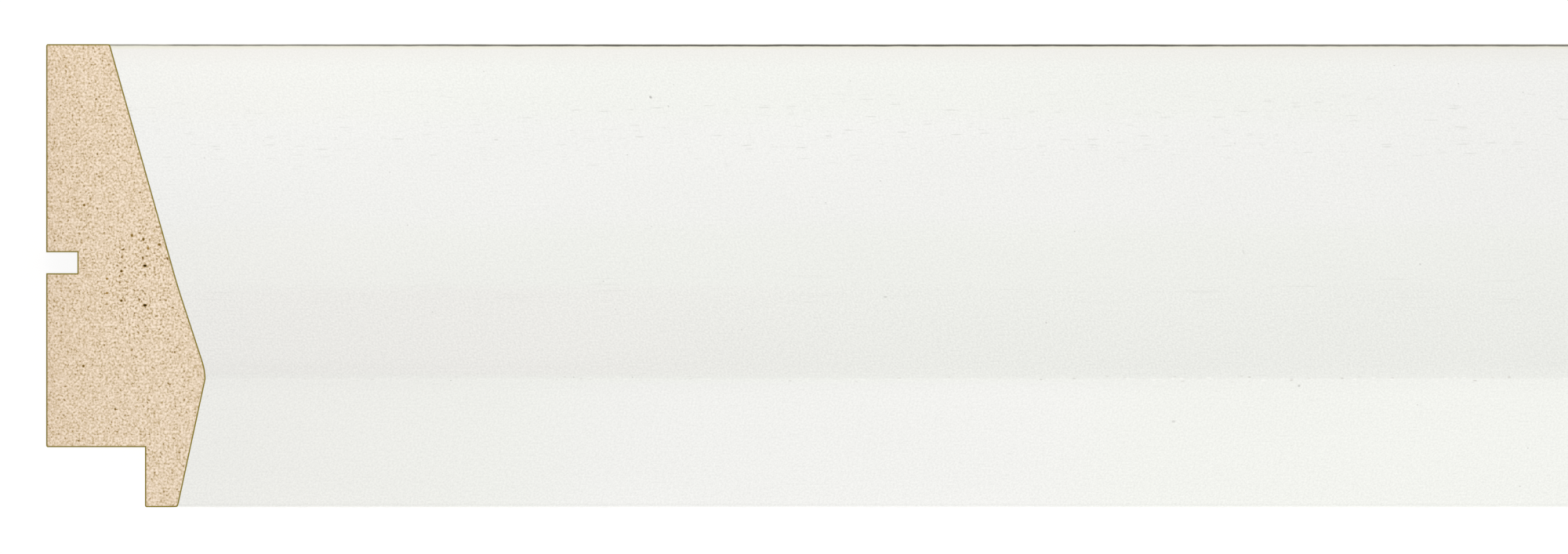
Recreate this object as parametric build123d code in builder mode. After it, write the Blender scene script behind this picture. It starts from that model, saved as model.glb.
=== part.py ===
from build123d import *

import os

# A length of wooden picture frame moulding, lying on its flat back with the face up. X runs along the
# stock, +Y points to the outer side, -Y to the sight edge and its rebate, and Z is up from the back.
# The origin is the middle of the length and of the width, on the back. All sizes are in millimetres.

# The stock: the length that it is sold in, and its full width from the outer side to the sight edge
length = 2400.0
width = 61.0

# The rebate under the sight edge, for the glass, picture and backing
rebate_width = 7.9
rebate_height = 13.0

# The lip over the rebate, and how far the crest of the face stands above it
lip_thickness = 4.35
crest_rise = 3.65

# The face: a low outer side, a long slope, a steeper swell and a rounded crest, from which it falls to
# the sight edge. The swell's foot and the crest's shoulder are measured from the crest.
outer_height = 8.4
crest_from_sight = 16.9
swell_run = 12.3
swell_drop = 3.65
shoulder_run = 2.5
shoulder_drop = 0.45

# How the corners of the face are eased
swell_blend = 80.0
crest_easing = 0.5
arris_easing = 0.4

# The relief groove along the back, which keeps wide stock from cupping
groove_from_outer = 28.8
groove_width = 2.75
groove_depth = 4.1

# Places in the section, as (y, z)
outer_y = width / 2
sight_y = -width / 2
sight_height = rebate_height + lip_thickness
thickness = sight_height + crest_rise
crest_y = sight_y + crest_from_sight
back_outer = (outer_y, 0)
back_sight = (sight_y, 0)
outer_arris = (outer_y, outer_height)
swell_foot = (crest_y + swell_run, thickness - swell_drop)
shoulder = (crest_y + shoulder_run, thickness - shoulder_drop)
crest = (crest_y, thickness)
sight_arris = (sight_y, sight_height)

with BuildPart() as moulding:
    with BuildSketch(Plane.YZ) as section:
        # The planed outline, from the back up the outer side and over the face to the sight edge
        with BuildLine():
            Polyline(back_sight, back_outer, outer_arris, swell_foot)
            swell = Line(swell_foot, shoulder)
            TangentArc(shoulder, crest, tangent=swell % 1)
            Polyline(crest, sight_arris, back_sight)
        make_face()

        # The corners of the face, from the outer side to the sight edge
        corners = (
            (outer_arris, arris_easing),
            (swell_foot, swell_blend),
            (crest, crest_easing),
            (sight_arris, arris_easing),
        )
        for corner, easing in corners:
            fillet(section.vertices().sort_by_distance(corner)[0], radius=easing)

        # The rebate, which leaves the lip that shows at the sight edge
        with Locations(back_sight):
            Rectangle(rebate_width, rebate_height, align=(Align.MIN, Align.MIN), mode=Mode.SUBTRACT)

        # The relief groove
        with Locations((outer_y - groove_from_outer, 0)):
            Rectangle(groove_width, groove_depth, align=(Align.CENTER, Align.MIN), mode=Mode.SUBTRACT)

    # The section runs straight between two square-sawn ends
    extrude(amount=length / 2, both=True)

moulding.part.label = "moulding"
os.makedirs("parts", exist_ok=True)
export_step(moulding.part, "parts/moulding.step")
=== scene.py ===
"""Dresses one length of white-painted picture frame moulding and sets it in a plain white studio.

Sizes are in metres, in the frame of the solid part: X runs along the stock, +Y points to the outer side,
-Y to the sight edge and its rebate, and Z is up from the flat back.
"""

import logging
import math
from dataclasses import dataclass
from enum import IntEnum
from functools import reduce
from operator import or_
from typing import Any, Mapping, NamedTuple, Sequence, Union

import bpy
import numpy as np
from mathutils import Matrix, Vector


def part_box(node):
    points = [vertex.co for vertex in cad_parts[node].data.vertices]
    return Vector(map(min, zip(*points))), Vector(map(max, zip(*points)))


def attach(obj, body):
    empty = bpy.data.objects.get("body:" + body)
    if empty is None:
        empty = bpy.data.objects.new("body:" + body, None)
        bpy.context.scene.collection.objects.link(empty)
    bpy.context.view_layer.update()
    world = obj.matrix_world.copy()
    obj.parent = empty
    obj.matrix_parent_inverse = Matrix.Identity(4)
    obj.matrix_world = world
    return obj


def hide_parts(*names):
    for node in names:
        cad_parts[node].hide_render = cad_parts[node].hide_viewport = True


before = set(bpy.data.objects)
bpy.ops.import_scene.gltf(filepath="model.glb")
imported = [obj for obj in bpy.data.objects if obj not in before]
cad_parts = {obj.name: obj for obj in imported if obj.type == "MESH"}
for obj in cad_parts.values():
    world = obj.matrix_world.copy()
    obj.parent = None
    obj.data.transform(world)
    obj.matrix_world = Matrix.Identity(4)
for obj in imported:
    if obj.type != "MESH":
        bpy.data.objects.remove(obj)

log = logging.getLogger("moulding")

MM = 0.001
NODE = "moulding"
BODY = "root"
LAY_MAP = "lay"
BAKE_MAP = "OFBake"
RIM = "rim"

Colour = tuple[float, float, float]
Place = tuple[float, float, float]
Number = Union["Value", float]


def linear(red: int, green: int, blue: int) -> Colour:
    """Turns a colour as it shows on a screen, 0 to 255, into the linear one that shaders take.

    A very dark level is divided by a constant, and any other follows a power curve, as on screens.

    Args:
        red: The red level.
        green: The green level.
        blue: The blue level.

    Returns:
        The three linear levels, 0 to 1.
    """
    shares = np.array([red, green, blue]) / 255.0
    dark = shares / 12.92
    light = ((shares + 0.055) / 1.055) ** 2.4
    return tuple(np.where(shares <= 0.04045, dark, light).tolist())


class Coat(IntEnum):
    """The finishes of the moulding, each numbered as its material slot."""

    PAINT = 0
    BARE = 1
    SAWN = 2


class Mark(IntEnum):
    """The corners of the section, from the foot of the outer side over the face and along the back."""

    OUTER_FOOT = 0
    OUTER_ARRIS = 1
    SWELL_FOOT = 2
    SHOULDER = 3
    CREST = 4
    SIGHT_ARRIS = 5
    LIP_FOOT = 6
    REBATE_CORNER = 7
    WALL_FOOT = 8
    GROOVE_MOUTH_IN = 9
    GROOVE_FLOOR_IN = 10
    GROOVE_FLOOR_OUT = 11
    GROOVE_MOUTH_OUT = 12


class Corner(NamedTuple):
    """A corner of the section: its place and easing, and the finish and spacing of the run after it."""

    place: tuple[float, float]
    easing: float
    coat: Coat
    step: float


class Fade(NamedTuple):
    """A soft edge of a mask: where it is 0, and where it is 1."""

    none: float
    full: float


class Band(NamedTuple):
    """A strip with soft edges: its middle, half its width, and the width over which it fades."""

    middle: float
    half: float
    soft: float


class Nick(NamedTuple):
    """A mark on a surface: its place on the surface's map, its length and width, and how much it shows."""

    along: float
    across: float
    long: float
    wide: float
    depth: float

    def in_metres(self) -> "Nick":
        """The mark, with its sizes turned from millimetres into metres."""
        return Nick(self.along * MM, self.across * MM, self.long * MM, self.wide * MM, self.depth)


class Gloss(NamedTuple):
    """How a finish takes light: its roughness, its specular level, and its relief's depth and strength."""

    roughness: float
    specular: float
    relief: float
    strength: float


class Outline(NamedTuple):
    """The section as points round it: places (n, 2), girths (n,), outward normals (n, 2) and coats (n,).

    A girth is a way round the section from the foot of the outer side. Marks are the girths of the corners.
    """

    places: np.ndarray
    girths: np.ndarray
    normals: np.ndarray
    coats: np.ndarray
    marks: np.ndarray
    girth: float

    def girth_at(self, inwards: float) -> float:
        """Finds the girth of a place on the face.

        Args:
            inwards: How far the place lies from the outer side, square to it.

        Returns:
            The girth from the foot of the outer side.
        """
        first, last = self.marks[Mark.OUTER_ARRIS], self.marks[Mark.SIGHT_ARRIS]
        face = (self.girths >= first) & (self.girths <= last)
        depths = self.places[:, 0].max() - self.places[face, 0]
        return float(np.interp(inwards, depths, self.girths[face]))


class Value:
    """One number in a shader graph. Arithmetic on it adds Math nodes to the graph."""

    def __init__(self, graph: "Graph", socket: bpy.types.NodeSocket) -> None:
        """Wraps an output socket of the graph."""
        self.graph = graph
        self.socket = socket

    def __add__(self, other: Number) -> "Value":
        """The sum."""
        return self.graph.math("ADD", self, other)

    def __radd__(self, other: Number) -> "Value":
        """The sum, with the number first."""
        return self.graph.math("ADD", other, self)

    def __sub__(self, other: Number) -> "Value":
        """The difference."""
        return self.graph.math("SUBTRACT", self, other)

    def __rsub__(self, other: Number) -> "Value":
        """The difference, with the number first."""
        return self.graph.math("SUBTRACT", other, self)

    def __mul__(self, other: Number) -> "Value":
        """The product."""
        return self.graph.math("MULTIPLY", self, other)

    def __rmul__(self, other: Number) -> "Value":
        """The product, with the number first."""
        return self.graph.math("MULTIPLY", other, self)

    def __abs__(self) -> "Value":
        """The size without the sign."""
        return self.graph.math("ABSOLUTE", self)

    def __or__(self, other: Number) -> "Value":
        """The greater of two masks."""
        return self.graph.math("MAXIMUM", self, other)

    def output(self, name: str | int) -> "Value":
        """Another output of the same node."""
        return Value(self.graph, self.socket.node.outputs[name])

    def step(self, none: float, full: float) -> "Value":
        """Goes smoothly from 0 to 1, whichever of its two ends is the greater.

        Args:
            none: Where the result is 0.
            full: Where the result is 1.

        Returns:
            The mask.
        """
        falls = none > full
        inputs = {
            "Value": self,
            "From Min": min(none, full),
            "From Max": max(none, full),
            "To Min": float(falls),
            "To Max": float(not falls),
        }
        return self.graph.node("ShaderNodeMapRange", {"interpolation_type": "SMOOTHSTEP"}, inputs)

    def band(self, middle: float, half: float, soft: float) -> "Value":
        """Is 1 within half of the middle and falls to 0 over the soft width beyond.

        Args:
            middle: The middle of the band.
            half: Half its width.
            soft: The width over which it fades.

        Returns:
            The mask.
        """
        return abs(self - middle).step(half + soft, half)


class Graph:
    """A node tree that is being written, with short ways to add its nodes."""

    def __init__(self, tree: bpy.types.NodeTree) -> None:
        """Empties the tree and keeps it."""
        self.tree = tree
        tree.nodes.clear()

    def node(
        self,
        kind: str,
        settings: Mapping[str, Any] | None = None,
        inputs: Mapping[str | int, Any] | None = None,
        output: str | int = 0,
    ) -> Value | None:
        """Adds any node.

        Args:
            kind: The node's type.
            settings: Its own settings, set first. "stops" holds a ramp's (position, colour) pairs.
            inputs: What its sockets take, by name or number: a value, or the output of another node.
            output: Which of its outputs to return.

        Returns:
            That output, or None for a node without any.
        """
        made = self.tree.nodes.new(kind)
        for name, setting in (settings or {}).items():
            if name == "stops":
                self._set_stops(made.color_ramp, setting)
            else:
                setattr(made, name, setting)
        for name, given in (inputs or {}).items():
            if isinstance(given, Value):
                self.tree.links.new(given.socket, made.inputs[name])
            else:
                made.inputs[name].default_value = given
        return Value(self, made.outputs[output]) if len(made.outputs) else None

    @staticmethod
    def _set_stops(ramp: bpy.types.ColorRamp, stops: Sequence[tuple[float, Colour]]) -> None:
        """Gives a ramp its stops.

        Args:
            ramp: The ramp of a new node, which has two stops.
            stops: Positions and colours, from left to right.
        """
        while len(ramp.elements) < len(stops):
            ramp.elements.new(1.0)
        for element, (position, colour) in zip(ramp.elements, stops):
            element.position = position
            element.color = (*colour, 1.0)

    def math(self, operation: str, *numbers: Number) -> Value:
        """Adds a Math node."""
        return self.node("ShaderNodeMath", {"operation": operation}, dict(enumerate(numbers)))

    def vector_math(self, operation: str, *vectors: Value | Place, output: int = 0) -> Value:
        """Adds a Vector Math node."""
        return self.node("ShaderNodeVectorMath", {"operation": operation}, dict(enumerate(vectors)), output)

    def lay(self) -> Value:
        """The place on the stock's map: along it and round its section, or across and up on a sawn end."""
        return self.node("ShaderNodeUVMap", {"uv_map": LAY_MAP})

    def parts(self, vector: Value) -> tuple[Value, Value]:
        """Splits a vector into its first two numbers."""
        first = self.node("ShaderNodeSeparateXYZ", None, {0: vector})
        return first, first.output(1)

    def nicks(self, place: Value, nicks: Sequence[Nick], rim: Fade = Fade(1.15, 0.45)) -> Value:
        """Single marks at set places, each an oval that is soft at its rim.

        Args:
            place: The place on the surface's map.
            nicks: The marks.
            rim: Where a mark fades, as a share of its half size.

        Returns:
            The mask, as strong in each mark's middle as its depth says.
        """
        masks = []
        for nick in nicks:
            offset = self.vector_math("SUBTRACT", place, (nick.along, nick.across, 0.0))
            shares = self.vector_math("MULTIPLY", offset, (2 / nick.long, 2 / nick.wide, 0.0))
            masks.append(self.vector_math("LENGTH", shares, output=1).step(*rim) * nick.depth)
        return reduce(or_, masks)

    def blend(self, mask: Number, below: Value | Colour, above: Value | Colour) -> Value:
        """Lays one colour over another.

        Args:
            mask: Where the upper colour shows, 0 to 1.
            below: The lower colour.
            above: The upper colour.

        Returns:
            The mixed colour.
        """
        given = {0: mask, 6: self._colour(below), 7: self._colour(above)}
        return self.node("ShaderNodeMix", {"data_type": "RGBA"}, given, 2)

    def tone(self, colour: Value, level: Value) -> Value:
        """Multiplies a colour by a level near 1."""
        grey = self.node("ShaderNodeCombineXYZ", None, {0: level, 1: level, 2: level})
        return self.vector_math("MULTIPLY", colour, grey)

    def principled(self, colour: Value, uneven: Value, height: Value, gloss: Gloss) -> Value:
        """Adds a Principled shader with a bump.

        Args:
            colour: The colour.
            uneven: What is added to the roughness.
            height: The relief's height, in units of its depth.
            gloss: What is the same all over.

        Returns:
            The shader.
        """
        relief = {"Strength": gloss.strength, "Distance": gloss.relief, "Height": height}
        inputs = {
            "Base Color": colour,
            "Roughness": gloss.roughness + uneven,
            "Normal": self.node("ShaderNodeBump", None, relief),
            "Specular IOR Level": gloss.specular,
        }
        return self.node("ShaderNodeBsdfPrincipled", None, inputs)

    @staticmethod
    def _colour(given: Value | Colour) -> Value | tuple[float, float, float, float]:
        """Gives a plain colour its opacity, and leaves a socket as it is."""
        return given if isinstance(given, Value) else (*given, 1.0)


@dataclass(frozen=True)
class Pattern:
    """A random pattern on the stock, laid out in cells.

    Attributes:
        along: A cell's size along the stock.
        across: Its size across the grain.
        shift: Moves the pattern, in cells, so that two layers differ.
        bend: How far bends move a place, in cells, so that the cells are uneven.
        bend_size: The size of the bends, in cells.
        depth: How much the pattern shows.
    """

    along: float
    across: float
    shift: float = 0.0
    bend: float = 0.0
    bend_size: float = 1.0
    depth: float = 1.0

    def shown(self, full: Value) -> Value:
        """A value of the pattern, as much of it as shows."""
        return full if self.depth == 1.0 else full * self.depth

    def laid(self, graph: Graph, place: Value) -> Value:
        """Measures a place in cells, and moves it by the bends.

        Args:
            graph: The material's graph.
            place: The place on the surface's map.

        Returns:
            The place in the pattern.
        """
        scale = (1 / self.along, 1 / self.across, 1.0)
        inputs = {"Vector": place, "Location": (self.shift, self.shift, 0.0), "Scale": scale}
        even = graph.node("ShaderNodeMapping", {"vector_type": "POINT"}, inputs)
        if self.bend == 0.0:
            return even
        inputs = {"Vector": even, "Scale": 1 / self.bend_size, "Detail": 1.0}
        swirl = graph.node("ShaderNodeTexNoise", {"noise_dimensions": "2D"}, inputs, "Color")
        offset = graph.vector_math("SUBTRACT", swirl, (0.5, 0.5, 0.5))
        return graph.vector_math("MULTIPLY_ADD", offset, (2 * self.bend, 2 * self.bend, 0.0), even)


@dataclass(frozen=True)
class Grain(Pattern):
    """Smooth random values about 0, one hump to a cell.

    Attributes:
        detail: How many finer layers are added.
        roughness: How strong those are.
    """

    detail: float = 0.0
    roughness: float = 0.5

    def spread(self, graph: Graph, place: Value) -> Value:
        """Works out the values.

        Args:
            graph: The material's graph.
            place: The place on the surface's map.

        Returns:
            The value there.
        """
        inputs = {"Vector": self.laid(graph, place), "Scale": 1.0}
        inputs.update({"Detail": self.detail, "Roughness": self.roughness})
        return self.shown(graph.node("ShaderNodeTexNoise", {"noise_dimensions": "2D"}, inputs) - 0.5)


@dataclass(frozen=True, kw_only=True)
class Flecks(Pattern):
    """Spots on a share of the cells, soft at their rims and unlike in strength.

    Attributes:
        reach: How far a spot reaches, in cells.
        share: The share of the cells that have one.
        core: The share of its reach within which a spot is full.
        sure: The share of the spots that are as strong as can be.
    """

    reach: float
    share: float
    core: float = 0.3
    sure: float = 0.2

    def spread(self, graph: Graph, place: Value) -> Value:
        """Draws the spots, by the distance to the nearest and by that one's own random number.

        Args:
            graph: The material's graph.
            place: The place on the surface's map.

        Returns:
            The mask, up to the pattern's depth in the middle of a spot.
        """
        inputs = {"Vector": self.laid(graph, place), "Scale": 1.0}
        near = graph.node("ShaderNodeTexVoronoi", {"voronoi_dimensions": "2D"}, inputs)
        chance = graph.node("ShaderNodeSeparateColor", None, {0: near.output("Color")})
        spots = near.step(self.reach, self.core * self.reach)
        return self.shown(spots * chance.step(self.share, self.sure * self.share))


@dataclass(frozen=True)
class Section:
    """The moulding's section, with the sizes of the solid part, and the spacing of its points.

    A run has a point at its hold from either end, which is more than the width of the sawn end's rim.
    """

    width: float = 61.0 * MM
    rebate_width: float = 7.9 * MM
    rebate_height: float = 13.0 * MM
    lip_thickness: float = 4.35 * MM
    crest_rise: float = 3.65 * MM
    outer_height: float = 8.4 * MM
    crest_from_sight: float = 16.9 * MM
    swell_run: float = 12.3 * MM
    swell_drop: float = 3.65 * MM
    shoulder_run: float = 2.5 * MM
    shoulder_drop: float = 0.45 * MM
    swell_blend: float = 80.0 * MM
    crest_easing: float = 0.5 * MM
    arris_easing: float = 0.4 * MM
    groove_from_outer: float = 28.8 * MM
    groove_width: float = 2.75 * MM
    groove_depth: float = 4.1 * MM
    raw_easing: float = 0.25 * MM
    shoulder_share: float = 0.9
    face_step: float = 2.0 * MM
    raw_step: float = 5.0 * MM
    hold: float = 0.3 * MM
    arc_points: int = 8

    @property
    def outer_y(self) -> float:
        """Where the outer side stands."""
        return self.width / 2

    @property
    def thickness(self) -> float:
        """The height of the crest above the back."""
        return self.rebate_height + self.lip_thickness + self.crest_rise

    def corners(self) -> list[Corner]:
        """Lists the corners in the order of Mark.

        The shoulder is given as the point where the swell's line meets the tangent at the crest. Its arc
        has that corner, and a share of the radius that reaches the crest, so that the crest's own easing has
        room.

        Returns:
            The corners.
        """
        sight_y = -self.outer_y
        sight_height = self.thickness - self.crest_rise
        crest = np.array([sight_y + self.crest_from_sight, self.thickness])
        foot = crest + (self.swell_run, -self.swell_drop)
        shoulder = crest + (self.shoulder_run, -self.shoulder_drop)
        rise = (shoulder - foot) / np.linalg.norm(shoulder - foot)
        chord = crest - shoulder
        chord_length = float(np.linalg.norm(chord))
        half_turn = math.acos(float(rise @ chord) / chord_length)
        meeting = shoulder + rise * chord_length / (2 * math.cos(half_turn))
        radius = chord_length / (2 * math.sin(half_turn))
        wall_y = sight_y + self.rebate_width
        groove_y = self.outer_y - self.groove_from_outer
        inner, outer = groove_y - self.groove_width / 2, groove_y + self.groove_width / 2
        paint, bare = (Coat.PAINT, self.face_step), (Coat.BARE, self.raw_step)
        return [
            Corner((self.outer_y, 0.0), self.raw_easing, *paint),
            Corner((self.outer_y, self.outer_height), self.arris_easing, *paint),
            Corner(tuple(foot), self.swell_blend, *paint),
            Corner(tuple(meeting), self.shoulder_share * radius, *paint),
            Corner(tuple(crest), self.crest_easing, *paint),
            Corner((sight_y, sight_height), self.arris_easing, *paint),
            Corner((sight_y, self.rebate_height), self.raw_easing, *bare),
            Corner((wall_y, self.rebate_height), 0.0, *bare),
            Corner((wall_y, 0.0), self.raw_easing, *bare),
            Corner((inner, 0.0), 0.0, *bare),
            Corner((inner, self.groove_depth), 0.0, *bare),
            Corner((outer, self.groove_depth), 0.0, *bare),
            Corner((outer, 0.0), 0.0, *bare),
        ]

    def eased(self, before: np.ndarray, corner: np.ndarray, after: np.ndarray, radius: float) -> np.ndarray:
        """Rounds a corner by an arc that is tangent to both of its runs.

        The arc's spokes from its centre are turned evenly from the first tangent point to the second, each
        as a blend of the two end spokes by the sines of the angles that are left and passed.

        Args:
            before: The corner before.
            corner: The corner.
            after: The corner after.
            radius: The arc's radius, or 0 for a sharp corner.

        Returns:
            The arc's points, or the corner alone.
        """
        if radius == 0.0:
            return corner[None]
        back = (before - corner) / np.linalg.norm(before - corner)
        ahead = (after - corner) / np.linalg.norm(after - corner)
        opening = math.acos(float(np.clip(back @ ahead, -1.0, 1.0)))
        turn = math.pi - opening
        reach = radius / math.tan(opening / 2)
        middle = (back + ahead) / np.linalg.norm(back + ahead)
        centre = corner + middle * radius / math.sin(opening / 2)
        passed = np.linspace(0.0, turn, self.arc_points)[:, None]
        first, last = corner + back * reach - centre, corner + ahead * reach - centre
        return centre + (np.sin(turn - passed) * first + np.sin(passed) * last) / math.sin(turn)

    def run(self, start: np.ndarray, end: np.ndarray, step: float) -> np.ndarray:
        """Divides a straight run evenly, with a point close to each end so that its shading stays flat.

        Args:
            start: The run's first point, which isn't repeated.
            end: Its last point, which isn't repeated.
            step: The largest spacing.

        Returns:
            The points between them.
        """
        length = float(np.linalg.norm(end - start))
        held = min(self.hold, length / 4)
        count = max(2, math.ceil((length - 2 * held) / step) + 1)
        shares = np.linspace(held, length - held, count)[:, None] / length
        return start + (end - start) * shares

    def outline(self) -> Outline:
        """Walks round the section, arc by arc and run by run.

        A point's girth is the sum of the gaps before it, and its normal is square to the mean of the two
        ways that meet there. A corner's mark is the girth of the middle of its arc.

        Returns:
            The outline.
        """
        corners = self.corners()
        places = np.array([c.place for c in corners])
        before, after = np.roll(places, 1, axis=0), np.roll(places, -1, axis=0)
        arcs = [self.eased(b, p, a, c.easing) for b, p, a, c in zip(before, places, after, corners)]
        stretches, coats, middles, count = [], [], [], 0
        for index, corner in enumerate(corners):
            arc, onward = arcs[index], arcs[(index + 1) % len(arcs)]
            straight = self.run(arc[-1], onward[0], corner.step)
            stretches += [arc, straight]
            coats += [corner.coat] * (len(arc) + len(straight))
            middles.append(count + len(arc) // 2)
            count += len(arc) + len(straight)
        points = np.concatenate(stretches)
        ahead = np.roll(points, -1, axis=0) - points
        gaps = np.linalg.norm(ahead, axis=1)
        girths = np.concatenate([[0.0], np.cumsum(gaps)[:-1]])
        ahead /= gaps[:, None]
        heading = ahead + np.roll(ahead, 1, axis=0)
        normals = np.stack([heading[:, 1], -heading[:, 0]], axis=1)
        normals /= np.linalg.norm(normals, axis=1)[:, None]
        return Outline(points, girths, normals, np.array(coats), girths[middles], float(gaps.sum()))


@dataclass(frozen=True)
class Finish:
    """What all finishes share: a name and the way to make a material of it."""

    name: str

    def material(self) -> bpy.types.Material:
        """Makes the material.

        Returns:
            The material, with its shader on its output.
        """
        made = bpy.data.materials.new(self.name)
        made.use_nodes = True
        graph = Graph(made.node_tree)
        surface = self.surface(graph)
        graph.node("ShaderNodeOutputMaterial", None, {"Surface": surface})
        return made

    def surface(self, graph: Graph) -> Value:
        """Writes the finish into a graph and returns its shader."""
        raise NotImplementedError


class Spot(NamedTuple):
    """A point of the paint, as its material's graph reads it.

    It has its place on the stock's map, how far it lies from the left end, and how far round the section it
    lies past the outer arris, the foot of the swell, the crest and the sight edge's arris.
    """

    graph: Graph
    place: Value
    from_end: Value
    past_arris: Value
    past_foot: Value
    past_crest: Value
    past_sight: Value


@dataclass(frozen=True)
class PaintGround:
    """The paint's white: ivory, rosier near the left end and milkier in bands, with a faint painted shade on
    the swell, deeper near the left end, and a darker line along the sight edge.
    """

    ivory: Colour = linear(242, 243, 238)
    rosy: Colour = linear(243, 242, 238)
    milky: Colour = linear(243, 243, 240)
    near: Fade = Fade(110 * MM, 30 * MM)
    at_end: Fade = Fade(55 * MM, 10 * MM)
    end_rose: float = 0.6
    halfway: Band = Band(83 * MM, 25 * MM, 20 * MM)
    far: Fade = Fade(150 * MM, 175 * MM)
    upper_slope: Band = Band(9 * MM, 5 * MM, 4 * MM)
    lower_slope: Band = Band(17.3 * MM, 5.5 * MM, 3.5 * MM)
    swell_start: Fade = Fade(-1.0 * MM, 1.0 * MM)
    swell_end: Fade = Fade(0.0, -1.0 * MM)
    facet: Fade = Fade(0.0, 1.0 * MM)
    sight_line: Band = Band(-0.28 * MM, 0.08 * MM, 0.15 * MM)
    mottle: Grain = Grain(34 * MM, 9 * MM, 3.0, detail=2.0, depth=0.025)
    stipple_depth: float = 0.21
    swell_stipple: float = 0.05
    swell_painted_shade: float = 0.008
    near_painted_shade: float = 0.01
    sight_shade: float = 0.05

    def colour(self, spot: Spot, stipple: Value) -> Value:
        """Mixes the white and sets its level.

        The level is 1, plus the stipple, which is stronger on the swell, plus the mottle, less a painted
        shade on the swell, which turns a little from the light and is deeper near the left end, less the
        shade of the line along the sight edge.

        Args:
            spot: The point.
            stipple: The stipple there.

        Returns:
            The colour.
        """
        graph, from_end = spot.graph, spot.from_end
        near = from_end.step(*self.near)
        swell = spot.past_foot.step(*self.swell_start) * spot.past_crest.step(*self.swell_end)
        rosy = swell * near | from_end.step(*self.at_end) * self.end_rose
        upper_slope = spot.past_arris.band(*self.upper_slope) * from_end.step(*self.far)
        facet = spot.past_crest.step(*self.facet) * from_end.band(*self.halfway)
        milky = spot.past_arris.band(*self.lower_slope) | upper_slope | facet
        white = graph.blend(milky, graph.blend(rosy, self.ivory, self.rosy), self.milky)
        level = 1.0 + stipple * (self.stipple_depth + swell * self.swell_stipple)
        level = level + self.mottle.spread(graph, spot.place)
        # Painted shade: the swell is darkened as if it turned from the light, more near the left end.
        level = level - swell * (self.swell_painted_shade + near * self.near_painted_shade)
        return graph.tone(white, level - spot.past_sight.band(*self.sight_line) * self.sight_shade)


@dataclass(frozen=True)
class Pores:
    """The wood's pores in the paint: dashes and ticks, most on the slope, and hairs at the swell's foot."""

    tint: Colour = linear(194, 195, 188)
    cover: float = 0.42
    slope: Band = Band(11.5 * MM, 2.0 * MM, 5.0 * MM)
    foot: Band = Band(0.5 * MM, 1.0 * MM, 2.0 * MM)
    far: Fade = Fade(120 * MM, 170 * MM)
    patches: Grain = Grain(14 * MM, 1.5 * MM, 7.0, detail=1.0)
    patch_edge: Fade = Fade(-0.3, 0.1)
    dashes: Flecks = Flecks(3.5 * MM, 0.32 * MM, bend=0.2, bend_size=0.8, reach=0.3, share=0.17)
    stray_dashes: float = 0.15
    ticks: Flecks = Flecks(2.1 * MM, 0.2 * MM, 6.0, reach=0.32, share=0.2)
    slope_ticks: float = 0.5
    stray_ticks: float = 0.25
    hairs: Flecks = Flecks(13 * MM, 0.27 * MM, 2.0, bend=0.15, bend_size=0.8, reach=0.27, share=0.2)
    near_hairs: float = 0.45
    more_hairs: float = 0.35

    def mask(self, spot: Spot) -> Value:
        """Draws dashes in patches on the slope, ticks there too, and hairs that are stronger far on.

        Args:
            spot: The point.

        Returns:
            The mask.
        """
        graph, place = spot.graph, spot.place
        slope = spot.past_arris.band(*self.slope)
        patches = self.patches.spread(graph, place).step(*self.patch_edge)
        dashes = self.dashes.spread(graph, place) * (slope * patches | self.stray_dashes)
        ticks = self.ticks.spread(graph, place) * (slope * self.slope_ticks | self.stray_ticks)
        growth = self.near_hairs + spot.from_end.step(*self.far) * self.more_hairs
        hairs = self.hairs.spread(graph, place) * spot.past_foot.band(*self.foot) * growth
        return dashes | ticks | hairs


@dataclass(frozen=True)
class CrestShadeAndWear:
    """The crest: a painted shade in a band up to it and a darker painted line just before it, where the face
    turns from the light, a faint painted shade past it, and chips, fainter near the left end.
    """

    wander: Grain = Grain(1.2 * MM, 1.0, 8.0, detail=2.0, roughness=0.6, depth=0.6 * MM)
    before: Fade = Fade(0.12 * MM, -0.12 * MM)
    shade_band: Fade = Fade(-2.8 * MM, -1.6 * MM)
    shade_band_depth: float = 0.006
    line: Fade = Fade(-1.2 * MM, -0.5 * MM)
    line_shade: float = 0.012
    lee_start: Fade = Fade(0.0, 0.25 * MM)
    lee_end: Fade = Fade(2.2 * MM, 0.6 * MM)
    lee_shade: float = 0.013
    edge: Fade = Fade(0.6 * MM, 0.15 * MM)
    spared: Fade = Fade(150 * MM, 10 * MM)
    spared_share: float = 0.7
    chip: Colour = linear(112, 88, 66)
    chips: Flecks = Flecks(1.1 * MM, 0.45 * MM, 4.0, reach=0.3, share=0.2, depth=0.32)
    flake: Colour = linear(253, 253, 248)
    flakes: Flecks = Flecks(1.2 * MM, 0.45 * MM, 11.0, reach=0.32, share=0.3, depth=0.9)

    def over(self, spot: Spot, painted: Value) -> Value:
        """Paints shade along a line that wanders about the crest, and chips the crest itself.

        Args:
            spot: The point.
            painted: The colour so far.

        Returns:
            The colour.
        """
        graph, place = spot.graph, spot.place
        past = spot.past_crest + self.wander.spread(graph, place)
        before = past.step(*self.before)
        shade_band = past.step(*self.shade_band) * before
        line = past.step(*self.line) * before
        lee = past.step(*self.lee_start) * past.step(*self.lee_end)
        # Painted shade: the band and line up to the crest and the lee past it darken the paint as the
        # light's turn at the crest would.
        level = 1.0 - shade_band * self.shade_band_depth - line * self.line_shade - lee * self.lee_shade
        painted = graph.tone(painted, level)
        worn = 1.0 - spot.from_end.step(*self.spared) * self.spared_share
        edge = abs(spot.past_crest).step(*self.edge) * worn
        painted = graph.blend(self.chips.spread(graph, place) * edge, painted, self.chip)
        return graph.blend(self.flakes.spread(graph, place) * edge, painted, self.flake)


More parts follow.
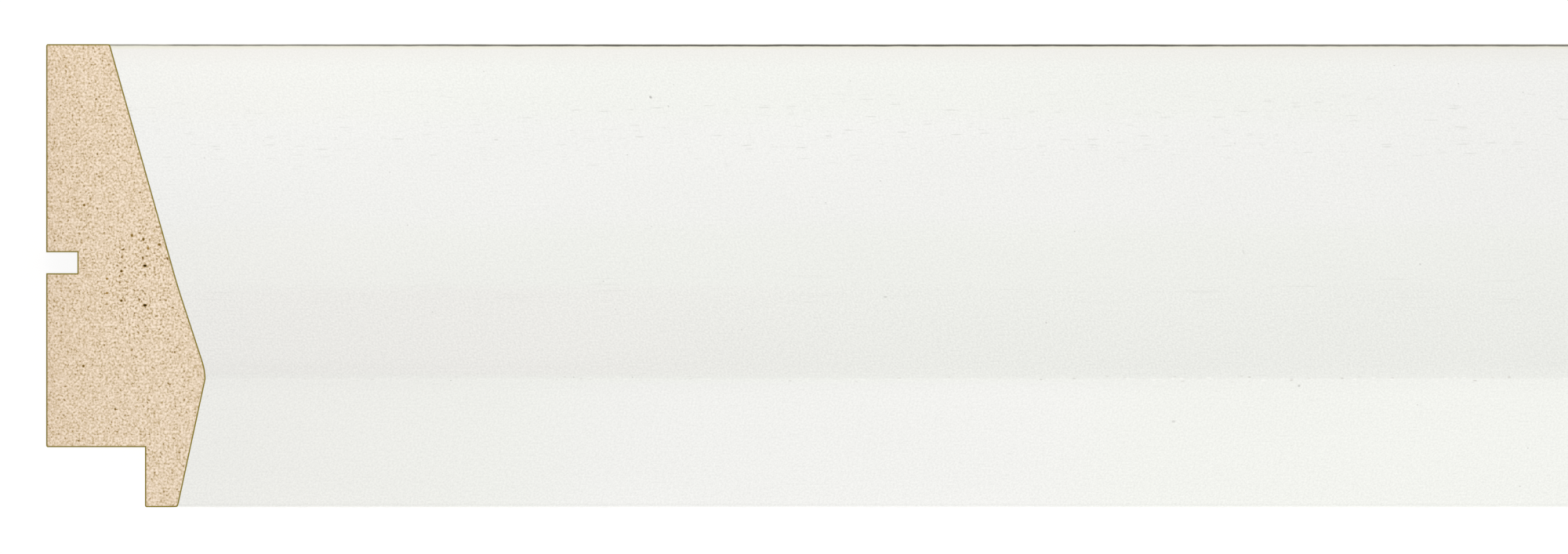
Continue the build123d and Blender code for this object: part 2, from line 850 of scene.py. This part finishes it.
@dataclass(frozen=True)
class ArrisShadowAndTints:
    """The outer arris: a thin dark painted shadow line where the shaded outer side meets the face, and a
    cream and a warm tint that fade inwards from it.
    """

    wander: Grain = Grain(2.5 * MM, 1.0, 9.0, detail=2.0, depth=0.12 * MM)
    edge: Fade = Fade(-1.2 * MM, -0.2 * MM)
    warm: Colour = linear(239, 236, 231)
    warm_reach: Fade = Fade(3.6 * MM, 0.4 * MM)
    warm_cover: float = 0.6
    cream: Colour = linear(236, 233, 216)
    cream_reach: Fade = Fade(0.75 * MM, 0.3 * MM)
    cream_cover: float = 0.8
    # The colour of the painted shadow line along the outer arris.
    dark: Colour = linear(64, 63, 54)
    inner: Fade = Fade(0.25 * MM, 0.08 * MM)
    outer: Fade = Fade(-0.24 * MM, -0.12 * MM)
    drift: float = 0.06 * MM
    begun: Fade = Fade(7.5 * MM, 8.5 * MM)
    grown: Fade = Fade(15 * MM, 75 * MM)
    faded: Fade = Fade(135 * MM, 160 * MM)
    first_cover: float = 0.66
    begun_cover: float = 0.16
    grown_cover: float = 0.16
    faded_loss: float = 0.12

    def over(self, spot: Spot, painted: Value) -> Value:
        """Tints the paint beside the arris, and draws the painted shadow line.

        From the left end on the line moves in and darkens, and far on it fades a little.

        Args:
            spot: The point.
            painted: The colour so far.

        Returns:
            The colour.
        """
        graph, from_end, inwards = spot.graph, spot.from_end, spot.past_arris
        ragged = inwards + self.wander.spread(graph, spot.place)
        edge = inwards.step(*self.edge)
        warm = inwards.step(*self.warm_reach) * edge * self.warm_cover
        cream = ragged.step(*self.cream_reach) * edge * self.cream_cover
        painted = graph.blend(cream, graph.blend(warm, painted, self.warm), self.cream)
        grown = from_end.step(*self.grown)
        drift = grown * self.drift
        # Painted shadow: a thin dark line along the outer arris, where the outer side is in shade.
        line = (ragged - drift).step(*self.inner) * (inwards - drift).step(*self.outer)
        cover = self.first_cover + from_end.step(*self.begun) * self.begun_cover + grown * self.grown_cover
        cover = cover - from_end.step(*self.faded) * self.faded_loss
        return graph.blend(line * cover, painted, self.dark)


@dataclass(frozen=True)
class WhitePaint(Finish):
    """Matt off-white paint over fine-pored wood, with specks, a chipped crest with painted shade about it,
    and a painted shadow line along the outer arris.

    It takes where the left end stands, the girths of the outer arris, the swell's foot, the crest and the
    sight edge's arris, and the specks at set places. The strays are scattered ones.
    """

    left: float
    arris: float
    foot: float
    crest: float
    sight: float
    specks: Sequence[Nick]
    strays: Flecks = Flecks(8 * MM, 6 * MM, 5.0, reach=0.019, share=0.16, depth=0.3)
    speck: Colour = linear(92, 86, 76)
    stipple: Grain = Grain(0.26 * MM, 0.24 * MM, detail=1.0, roughness=0.6)
    ground: PaintGround = PaintGround()
    pores: Pores = Pores()
    crest_shade_and_wear: CrestShadeAndWear = CrestShadeAndWear()
    arris_shadow_and_tints: ArrisShadowAndTints = ArrisShadowAndTints()
    gloss: Gloss = Gloss(0.62, 0.25, 0.03 * MM, 0.25)
    stipple_roughness: float = 0.1
    stipple_relief: float = 0.3

    def surface(self, graph: Graph) -> Value:
        """Layers the paint: its ground, the pores, the painted shade and chips of the crest, the specks,
        then the painted shadow line of the outer arris.

        Args:
            graph: The material's graph.

        Returns:
            The shader.
        """
        place = graph.lay()
        along, girth = graph.parts(place)
        past = [girth - corner for corner in (self.arris, self.foot, self.crest, self.sight)]
        spot = Spot(graph, place, along - self.left, *past)
        stipple = self.stipple.spread(graph, place)
        pores = self.pores.mask(spot)
        painted = self.ground.colour(spot, stipple)
        painted = graph.blend(pores * self.pores.cover, painted, self.pores.tint)
        # The painted shade about the crest, and its chips.
        painted = self.crest_shade_and_wear.over(spot, painted)
        specks = self.strays.spread(graph, place) | graph.nicks(place, self.specks)
        painted = graph.blend(specks, painted, self.speck)
        # The painted shadow line along the outer arris.
        painted = self.arris_shadow_and_tints.over(spot, painted)
        height = stipple * self.stipple_relief - pores
        return graph.principled(painted, stipple * self.stipple_roughness, height, self.gloss)


@dataclass(frozen=True)
class EndGrain(Finish):
    """Sawn end grain of a pale, fine-flecked wood, with open pores and a thin dark line round its rim.

    Its tints run from the darkest flecks to the palest wood.
    """

    knots: Sequence[Nick]
    tints: Sequence[Colour] = (
        linear(116, 86, 30),
        linear(178, 151, 104),
        linear(206, 183, 148),
        linear(221, 200, 172),
        linear(232, 213, 190),
        linear(243, 226, 207),
    )
    stain: Colour = linear(172, 136, 66)
    stain_edge: Fade = Fade(0.0, 0.5)
    pore: Colour = linear(36, 22, 0)
    pore_edge: Fade = Fade(0.45, 1.0)
    line: Colour = linear(134, 119, 36)
    line_edge: Fade = Fade(0.02, 0.2)
    core_across: Band = Band(-1.0 * MM, 4.0 * MM, 6.0 * MM)
    core_up: Band = Band(12.5 * MM, 2.5 * MM, 3.0 * MM)
    core_depth: float = 0.3
    level: float = 0.71
    fine: Grain = Grain(0.3 * MM, 0.3 * MM, 2.0, 0.3, 1.2, detail=1.0, roughness=0.6)
    fine_depth: float = 1.55
    clouds: Grain = Grain(1.5 * MM, 1.5 * MM, detail=1.0, depth=0.26)
    flecks: Flecks = Flecks(0.42 * MM, 0.42 * MM, 0.0, 0.3, 0.7, reach=0.46, share=0.75, depth=0.3)
    grit: Flecks = Flecks(1.1 * MM, 1.1 * MM, 3.0, 0.15, 0.35, reach=0.22, share=0.4)
    grit_depth: float = 0.26
    gloss: Gloss = Gloss(0.95, 0.1, 0.04 * MM, 0.15)
    shade_roughness: float = -0.1

    def surface(self, graph: Graph) -> Value:
        """Sets fine flecks, larger grit and a few open pores on the wood, and the line on the rim.

        The shade, which picks the tint, is a level plus the fine grain and the clouds, less the flecks and
        the grit. Fine grain and grit are stronger in the core.

        Args:
            graph: The material's graph.

        Returns:
            The shader.
        """
        place = graph.lay()
        across, up = graph.parts(place)
        core = across.band(*self.core_across) * up.band(*self.core_up) * self.core_depth
        shade = self.level + self.fine.spread(graph, place) * (self.fine_depth + core)
        shade = shade + self.clouds.spread(graph, place) - self.flecks.spread(graph, place)
        shade = shade - self.grit.spread(graph, place) * (self.grit_depth + core)
        stops = list(zip(np.linspace(0.0, 1.0, len(self.tints)).tolist(), self.tints))
        wood = graph.node("ShaderNodeValToRGB", {"stops": stops}, {0: shade})
        knots = graph.nicks(place, self.knots)
        wood = graph.blend(knots.step(*self.stain_edge), wood, self.stain)
        wood = graph.blend(knots.step(*self.pore_edge), wood, self.pore)
        rim = graph.node("ShaderNodeAttribute", {"attribute_name": RIM}, None, "Fac")
        wood = graph.blend(rim.step(*self.line_edge), wood, self.line)
        return graph.principled(wood, shade * self.shade_roughness, shade, self.gloss)


@dataclass(frozen=True)
class BareWood(Finish):
    """Planed bare wood, with pores drawn out along the grain and a mist of paint beside the painted edges.

    The paint ends at the lip's girth, and begins again at the whole girth.
    """

    lip: float
    girth: float
    dark: Colour = linear(204, 178, 142)
    light: Colour = linear(234, 213, 184)
    streaks: Grain = Grain(90 * MM, 2.2 * MM, detail=3.0, roughness=0.6)
    streak_edge: Fade = Fade(-0.2, 0.2)
    pore: Colour = linear(146, 118, 80)
    pores: Flecks = Flecks(6 * MM, 0.5 * MM, reach=0.25, share=0.5)
    pore_cover: float = 0.6
    paint: Colour = linear(238, 237, 230)
    wander: Grain = Grain(3 * MM, 1.5 * MM, 4.0, detail=3.0, roughness=0.7, depth=2.5 * MM)
    mist: Fade = Fade(1.6 * MM, 0.2 * MM)
    mist_cover: float = 0.85
    gloss: Gloss = Gloss(0.725, 0.2, 0.05 * MM, 0.3)
    streak_roughness: float = -0.15
    streak_relief: float = 0.3

    def surface(self, graph: Graph) -> Value:
        """Sets streaks and long pores along the stock, then the mist of paint.

        Args:
            graph: The material's graph.

        Returns:
            The shader.
        """
        place = graph.lay()
        _, girth = graph.parts(place)
        streaks = self.streaks.spread(graph, place)
        wood = graph.blend(streaks.step(*self.streak_edge), self.dark, self.light)
        pores = self.pores.spread(graph, place)
        wood = graph.blend(pores * self.pore_cover, wood, self.pore)
        ragged = self.wander.spread(graph, place)
        from_lip, from_foot = girth - self.lip + ragged, self.girth - girth + ragged
        mist = from_lip.step(*self.mist) | from_foot.step(*self.mist)
        wood = graph.blend(mist * self.mist_cover, wood, self.paint)
        height = streaks * self.streak_relief - pores
        return graph.principled(wood, streaks * self.streak_roughness, height, self.gloss)


@dataclass(frozen=True)
class Moulding:
    """The length of stock: the section carried straight along X, with two sawn ends.

    Rings stand a fine step apart in the close-up at the left end, and a coarse step apart beyond it. The
    wear along the arrises has waves between two lengths. The bake sizes are shares of the second map.
    """

    section: Section
    length: float
    close_up: float = 215.0 * MM
    fine_step: float = 1.0 * MM
    coarse_step: float = 6.5 * MM
    rim_width: float = 0.2 * MM
    sharp_angle: float = math.radians(35.0)
    wear: float = 0.05 * MM
    wear_reach: float = 0.5 * MM
    wear_lengths: tuple[float, float] = (4.0 * MM, 60.0 * MM)
    wear_waves: int = 9
    wear_seed: int = 7
    bake_strips: int = 4
    bake_ends: float = 0.09
    bake_end_width: float = 0.3
    bake_end_fill: float = 0.95
    bake_margin: float = 0.004

    @property
    def left(self) -> float:
        """Where the left end stands."""
        return -self.length / 2

    def stations(self) -> np.ndarray:
        """Spaces the rings along X, close together at the left end and wider apart beyond it.

        Returns:
            Where they stand, (m,).
        """
        fine = np.linspace(self.left, self.left + self.close_up, round(self.close_up / self.fine_step) + 1)
        rest = np.linspace(fine[-1], -self.left, round((-self.left - fine[-1]) / self.coarse_step) + 1)
        return np.concatenate([fine, rest[1:]])

    def worn_back(self, stations: np.ndarray, outline: Outline) -> np.ndarray:
        """How far the two painted arrises are worn back at each place.

        Along the stock it is the wear times a half plus the mean of sines of several lengths, never less
        than none; round the section it falls off from each arris as a bell.

        Args:
            stations: Where the rings stand, (m,).
            outline: The section.

        Returns:
            The depths, (m, n).
        """
        waves = np.random.default_rng(self.wear_seed)
        lengths = np.geomspace(*self.wear_lengths, self.wear_waves)[:, None]
        phases = waves.uniform(0, 2 * math.pi, (2, self.wear_waves, 1))
        swing = np.sin(stations / lengths * 2 * math.pi + phases).mean(axis=1).clip(-0.5)
        marks = outline.marks[[Mark.OUTER_ARRIS, Mark.SIGHT_ARRIS]][:, None]
        bells = np.exp(-(((outline.girths - marks) / self.wear_reach) ** 2))
        return self.wear * np.einsum("am,an->mn", 0.5 + swing, bells)

    def mesh(self) -> bpy.types.Mesh:
        """Carries the section along the stations, and closes each end by a rim strip and an inner face.

        A point of ring i and outline place j is (x_i, y_j, z_j), less the wear along the outline's normal.

        Returns:
            The mesh, with its maps, coats and rim.
        """
        outline, stations = self.section.outline(), self.stations()
        rings, around = len(stations), len(outline.places)
        across = outline.places - self.worn_back(stations, outline)[..., None] * outline.normals
        x = np.broadcast_to(stations[:, None, None], (rings, around, 1))
        sides = np.concatenate([x, across], axis=2).reshape(-1, 3)
        ends = [self.inset(across[i], outline, stations[i]) for i in (0, -1)]
        points = np.concatenate([sides, *ends])
        ring = np.arange(rings - 1)[:, None] * around
        here, onward = np.arange(around), np.roll(np.arange(around), -1)
        quads = np.stack([ring + here, ring + onward, ring + around + onward, ring + around + here], axis=2)
        last_ring = (rings - 1) * around
        left_rim = self.rim_faces(0, len(sides), here, onward)[:, ::-1]
        right_rim = self.rim_faces(last_ring, len(sides) + around, here, onward)
        faces = np.concatenate([quads.reshape(-1, 4), left_rim, right_rim])
        caps = np.stack([len(sides) + here[::-1], len(sides) + around + here])
        made = bpy.data.meshes.new(NODE)
        made.from_pydata(points.tolist(), [], faces.tolist() + caps.tolist())
        end_corners = np.concatenate([left_rim.ravel(), right_rim.ravel(), caps.ravel()])
        self.lay_maps(made, outline, stations, points[end_corners])
        self.mark_faces(made, np.tile(outline.coats, rings - 1))
        rim = np.zeros(len(points), np.float32)
        rim[:around] = rim[last_ring : len(sides)] = 1.0
        made.attributes.new(RIM, "FLOAT", "POINT").data.foreach_set("value", rim)
        return made

    def inset(self, ring: np.ndarray, outline: Outline, station: float) -> np.ndarray:
        """Moves an end's outline inwards by the rim's width, and by more at a corner to keep it even.

        Args:
            ring: The end's outline, (n, 2).
            outline: The section.
            station: Where the end stands along X.

        Returns:
            The inner outline, (n, 3).
        """
        ahead = np.roll(outline.places, -1, axis=0) - outline.places
        ahead /= np.linalg.norm(ahead, axis=1)[:, None]
        facing = np.stack([ahead[:, 1], -ahead[:, 0]], axis=1)
        lean = np.sum(facing * outline.normals, axis=1)[:, None]
        inner = ring - outline.normals * self.rim_width / lean
        return np.concatenate([np.full((len(ring), 1), station), inner], axis=1)

    @staticmethod
    def rim_faces(outer: int, inner: int, here: np.ndarray, onward: np.ndarray) -> np.ndarray:
        """Joins an end's outline to its inner outline by a strip of quads that face +X.

        Args:
            outer: The number of the outline's first point.
            inner: The number of the inner outline's first point.
            here: The places round the section.
            onward: The next places.

        Returns:
            The quads, (n, 4).
        """
        return np.stack([outer + here, outer + onward, inner + onward, inner + here], axis=1)

    def mark_faces(self, made: bpy.types.Mesh, sides: np.ndarray) -> None:
        """Gives the faces their finishes and their shading.

        Args:
            made: The mesh, whose end faces come last.
            sides: The coats of the side faces.
        """
        coats = np.full(len(made.polygons), int(Coat.SAWN), np.int32)
        coats[: len(sides)] = sides
        made.polygons.foreach_set("material_index", coats)
        made.polygons.foreach_set("use_smooth", np.ones(len(made.polygons), bool))
        made.set_sharp_from_angle(angle=self.sharp_angle)

    def lay_maps(
        self, made: bpy.types.Mesh, outline: Outline, stations: np.ndarray, ends: np.ndarray
    ) -> None:
        """Writes the two maps of the surface.

        The first says where each corner of each face lies on the stock, in metres: along it and round its
        section on the sides, across and up on the ends. The second lays the sides in strips one above the
        other, and the ends side by side under them, all within the unit square.

        Args:
            made: The mesh.
            outline: The section.
            stations: Where the rings stand.
            ends: The points at the corners of the end faces, in the order of the faces, (k, 3).
        """
        girths = np.append(outline.girths, outline.girth)
        near, low = np.meshgrid(stations[:-1], girths[:-1], indexing="ij")
        far, high = np.meshgrid(stations[1:], girths[1:], indexing="ij")
        sides = np.stack([near, low, near, high, far, high, far, low], axis=2).reshape(*near.shape, 4, 2)
        lay = np.concatenate([sides.reshape(-1, 2), ends[:, 1:]])
        middles = (stations[:-1] + stations[1:]) / 2
        strips = np.floor((middles - self.left) / self.length * self.bake_strips).astype(int)
        starts = stations[np.searchsorted(strips, np.arange(self.bake_strips))]
        spans = np.append(starts[1:], stations[-1]) - starts
        strip = strips[:, None, None]
        u = (sides[..., 0] - starts[strip]) / spans[strip]
        v = (strip + self.within(sides[..., 1] / outline.girth)) / self.bake_strips
        strip_map = np.stack([self.within(u), self.bake_ends + v * (1 - self.bake_ends)], axis=-1)
        right = (ends[:, 0] > 0).astype(float)
        across = self.within(ends[:, 1] / self.section.width + 0.5)
        up = self.within(ends[:, 2] / self.section.thickness)
        end_height = self.bake_ends * self.bake_end_fill
        end_map = np.stack([(right + across) * self.bake_end_width, up * end_height], axis=1)
        maps = {LAY_MAP: lay, BAKE_MAP: np.concatenate([strip_map.reshape(-1, 2), end_map])}
        for name, corners in maps.items():
            layer = made.uv_layers.new(name=name)
            layer.uv.foreach_set("vector", corners.astype(np.float32).ravel())

    def within(self, share: np.ndarray) -> np.ndarray:
        """Keeps a share, 0 to 1, off both ends by the bake's margin."""
        return self.bake_margin + share * (1 - 2 * self.bake_margin)

    def build(self) -> bpy.types.Object:
        """Makes the piece, puts it on its body in place of the plain solid, and dresses it.

        Returns:
            The piece.
        """
        piece = bpy.data.objects.new("painted_moulding", self.mesh())
        bpy.context.scene.collection.objects.link(piece)
        for finish in self.finishes():
            piece.data.materials.append(finish.material())
        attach(piece, BODY)
        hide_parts(NODE)
        log.info("%s: %d faces, %.3f m long", piece.name, len(piece.data.polygons), self.length)
        return piece

    def finishes(self) -> list[Finish]:
        """Lists the finishes in the order of Coat.

        Returns:
            The paint, the bare wood and the end grain.
        """
        outline = self.section.outline()
        girth_of = dict(zip(Mark, outline.marks.tolist()))
        landmarks = (Mark.OUTER_ARRIS, Mark.SWELL_FOOT, Mark.CREST, Mark.SIGHT_ARRIS)
        girths = [girth_of[mark] for mark in landmarks]
        paint = WhitePaint("white_paint", self.left, *girths, self.specks(outline))
        bare = BareWood("bare_wood", girth_of[Mark.LIP_FOOT], outline.girth)
        return [paint, bare, EndGrain("end_grain", self.knots())]

    def specks(self, outline: Outline) -> list[Nick]:
        """Places the dark specks in the paint near the left end.

        They are measured in millimetres, from the left end and from the outer side.

        Args:
            outline: The section.

        Returns:
            The specks, on the stock's map.
        """
        measured = [
            Nick(69.2, 7.0, 0.42, 0.42, 0.5),
            Nick(71.2, 8.2, 0.25, 0.4, 0.25),
            Nick(47.3, 12.6, 0.6, 0.35, 0.14),
            Nick(91.2, 12.1, 0.95, 0.25, 0.16),
            Nick(92.6, 33.3, 0.6, 0.32, 0.26),
            Nick(112.7, 36.7, 0.3, 0.3, 0.28),
            Nick(128.6, 49.7, 0.6, 0.4, 0.24),
            Nick(144.1, 45.0, 0.42, 0.42, 0.32),
            Nick(141.5, 27.4, 0.25, 0.85, 0.14),
            Nick(164.3, 29.0, 0.32, 0.32, 0.22),
        ]
        sized = [nick.in_metres() for nick in measured]
        return [n._replace(along=self.left + n.along, across=outline.girth_at(n.across)) for n in sized]

    def knots(self) -> list[Nick]:
        """Places the open pores of the sawn ends.

        They are measured in millimetres, across from the middle of the width and up from the back.

        Returns:
            The pores, on the ends' map.
        """
        measured = [
            Nick(1.3, 13.0, 0.42, 0.65, 1.0),
            Nick(-3.9, 13.0, 0.42, 0.65, 1.0),
            Nick(0.6, 9.9, 0.42, 0.42, 0.85),
            Nick(-3.3, 9.9, 0.42, 0.42, 0.85),
            Nick(-11.9, 4.9, 0.42, 0.42, 0.8),
            Nick(5.3, 11.3, 0.55, 0.4, 0.75),
            Nick(4.8, 12.8, 0.55, 0.4, 0.8),
            Nick(4.1, 14.9, 0.42, 0.55, 0.75),
            Nick(3.6, 13.4, 0.5, 0.38, 0.65),
            Nick(-0.4, 8.0, 0.36, 0.4, 0.65),
            Nick(-2.3, 8.0, 0.36, 0.4, 0.65),
            Nick(9.3, 5.0, 0.42, 0.42, 0.75),
        ]
        return [nick.in_metres() for nick in measured]


@dataclass(frozen=True)
class Lamp:
    """A soft oblong lamp: its place, the point it faces, its length and height, and its power in watts."""

    name: str
    place: Place
    aim: Place
    size: tuple[float, float]
    power: float

    def hang(self) -> bpy.types.Object:
        """Adds the lamp to the scene.

        Returns:
            The lamp.
        """
        lamp = bpy.data.lights.new(self.name, "AREA")
        lamp.shape = "RECTANGLE"
        lamp.size, lamp.size_y = self.size
        lamp.energy = self.power
        hung = bpy.data.objects.new(self.name, lamp)
        bpy.context.scene.collection.objects.link(hung)
        hung.location = self.place
        way = Vector(self.aim) - Vector(self.place)
        hung.rotation_euler = way.to_track_quat("-Z", "Y").to_euler()
        log.info("%s: %.2f W", self.name, self.power)
        return hung


def seen_directly(graph: Graph) -> Value:
    """Tells rays from the camera, and those reflected or let through, from the ones that only carry light.

    Args:
        graph: The graph to add the nodes to.

    Returns:
        The mask, 1 for such rays.
    """
    camera = graph.node("ShaderNodeLightPath", None, None, "Is Camera Ray")
    return camera | camera.output("Is Glossy Ray") | camera.output("Is Transmission Ray")


@dataclass(frozen=True)
class StudioFloor(Finish):
    """A floor that looks white to the camera, in reflections and through glass, and keeps its shadows."""

    glow: float = 0.93
    shadow: float = 0.13
    bounce: float = 0.75

    def surface(self, graph: Graph) -> Value:
        """Mixes the floor that is seen with the one that lights the object.

        Args:
            graph: The material's graph.

        Returns:
            The shader.
        """
        light = graph.node("ShaderNodeEmission", None, {"Strength": self.glow})
        shade = graph.node("ShaderNodeBsdfDiffuse", None, {"Color": (*(self.shadow,) * 3, 1.0)})
        shown = graph.node("ShaderNodeAddShader", None, {0: light, 1: shade})
        plain = graph.node("ShaderNodeBsdfDiffuse", None, {"Color": (*(self.bounce,) * 3, 1.0)})
        return graph.node("ShaderNodeMixShader", None, {0: seen_directly(graph), 1: plain, 2: shown})


@dataclass(frozen=True)
class Studio:
    """The plain white room: a floor under the back of the stock, an even sky and soft lamps.

    Panels stand about the left end, strips along the rest of the stock, and a slit before the sawn end.
    """

    left: float
    sky: float = 0.5
    floor_half: float = 6.0
    floor_drop: float = 0.05 * MM
    aim_height: float = 15.0 * MM
    panel: tuple[float, float] = (0.12, 0.12)
    strip: tuple[float, float] = (2.5, 0.15)
    slit: tuple[float, float] = (0.10, 0.02)
    slit_height: float = 11.0 * MM
    slit_distance: float = 0.3

    def lamps(self) -> list[Lamp]:
        """Lists the lamps: three about the left end, a strip on each side of the rest, and one at the end.

        Returns:
            The lamps.
        """
        end = (self.left, 0.0, self.slit_height)
        before_end = (self.left - self.slit_distance, 0.0, self.slit_height)
        return [
            self.beside("outer_lamp", (0.11, 0.195, 0.155), self.panel, 0.176),
            self.beside("sight_lamp", (0.095, -0.375, 0.12), self.panel, 0.567),
            self.beside("corner_lamp", (-0.024, 0.085, 0.088), self.panel, 0.028),
            self.beside("outer_strip", (1.45, 0.25, 0.4), self.strip, 1.92),
            self.beside("sight_strip", (1.45, -0.3, 0.4), self.strip, 2.67),
            Lamp("end_lamp", before_end, end, self.slit, 0.39),
        ]

    def beside(self, name: str, offset: Place, size: tuple[float, float], power: float) -> Lamp:
        """Sets a lamp that faces the stock square to its length.

        Args:
            name: The lamp's name.
            offset: Its place, with the first number measured from the left end.
            size: Its length and height.
            power: Its power in watts.

        Returns:
            The lamp.
        """
        x = self.left + offset[0]
        return Lamp(name, (x, *offset[1:]), (x, 0.0, self.aim_height), size, power)

    def build(self) -> None:
        """Lays the floor, lights the sky and hangs the lamps."""
        half, drop = self.floor_half, -self.floor_drop
        corners = [(-half, -half, drop), (half, -half, drop), (half, half, drop), (-half, half, drop)]
        mesh = bpy.data.meshes.new("floor")
        mesh.from_pydata(corners, [], [(0, 1, 2, 3)])
        mesh.materials.append(StudioFloor("floor_white").material())
        floor = bpy.data.objects.new("floor", mesh)
        bpy.context.scene.collection.objects.link(floor)
        self.light_sky()
        for lamp in self.lamps():
            lamp.hang()

    def light_sky(self) -> None:
        """Makes the sky white to the camera and even, at its own level, to the object."""
        world = bpy.data.worlds.new("sky")
        world.use_nodes = True
        bpy.context.scene.world = world
        graph = Graph(world.node_tree)
        white = (1.0, 1.0, 1.0, 1.0)
        light = graph.node("ShaderNodeBackground", None, {"Color": white, "Strength": self.sky})
        shown = graph.node("ShaderNodeBackground", None, {"Color": white, "Strength": 1.0})
        mixed = graph.node("ShaderNodeMixShader", None, {0: seen_directly(graph), 1: light, 2: shown})
        graph.node("ShaderNodeOutputWorld", None, {"Surface": mixed})


@dataclass(frozen=True)
class ObliqueCamera:
    """Looks square at the face and slides each point sideways by its height, as an oblique drawing does.

    The face and the sawn left end then both show in their true shapes, side by side. The corner in pixels
    is that of the back and the outer side, from the left and the top of the picture.
    """

    left: float
    section: Section
    picture_px: tuple[float, float] = (2000.0, 707.0)
    corner_px: tuple[float, float] = (58.9, 56.25)
    px_per_mm: float = 9.69
    distance: float = 0.5
    clip: tuple[float, float] = (0.01, 10.0)

    def build(self) -> bpy.types.Object:
        """Adds the camera and makes it the scene's.

        Its right is +X and its up +Y. Its sight line leans back along X as much as it rises, which only a
        sheared parent can give, so the camera hangs on an empty whose inverse holds the shear.

        Returns:
            The camera.
        """
        scale = MM / self.px_per_mm
        wide, high = self.picture_px
        right = self.left + (wide / 2 - self.corner_px[0]) * scale
        up = self.section.outer_y - (high / 2 - self.corner_px[1]) * scale
        lens = bpy.data.cameras.new("camera")
        lens.type = "ORTHO"
        lens.ortho_scale = wide * scale
        lens.clip_start, lens.clip_end = self.clip
        camera = bpy.data.objects.new("camera", lens)
        holder = bpy.data.objects.new("camera_holder", None)
        for added in (camera, holder):
            bpy.context.scene.collection.objects.link(added)
        back = Vector((-1.0, 0.0, 1.0)).normalized()
        place = Vector((right, up, 0.0)) + back * self.distance
        rows = [(1.0, 0.0, back.x, place.x), (0.0, 1.0, back.y, place.y), (0.0, 0.0, back.z, place.z)]
        camera.parent = holder
        camera.matrix_parent_inverse = Matrix([*rows, (0.0, 0.0, 0.0, 1.0)])
        bpy.context.scene.camera = camera
        log.info("%s: %.2f px per mm", camera.name, self.px_per_mm)
        return camera


def main() -> None:
    """Builds the moulding, as long as the solid part, the studio and the camera."""
    logging.basicConfig(level=logging.INFO, format="%(message)s")
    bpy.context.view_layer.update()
    low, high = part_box(NODE)
    section = Section()
    moulding = Moulding(section, high.x - low.x)
    moulding.build()
    Studio(moulding.left).build()
    ObliqueCamera(moulding.left, section).build()
    bpy.context.scene.view_settings.view_transform = "Standard"
    bpy.context.view_layer.update()


if __name__ == "__main__":
    main()
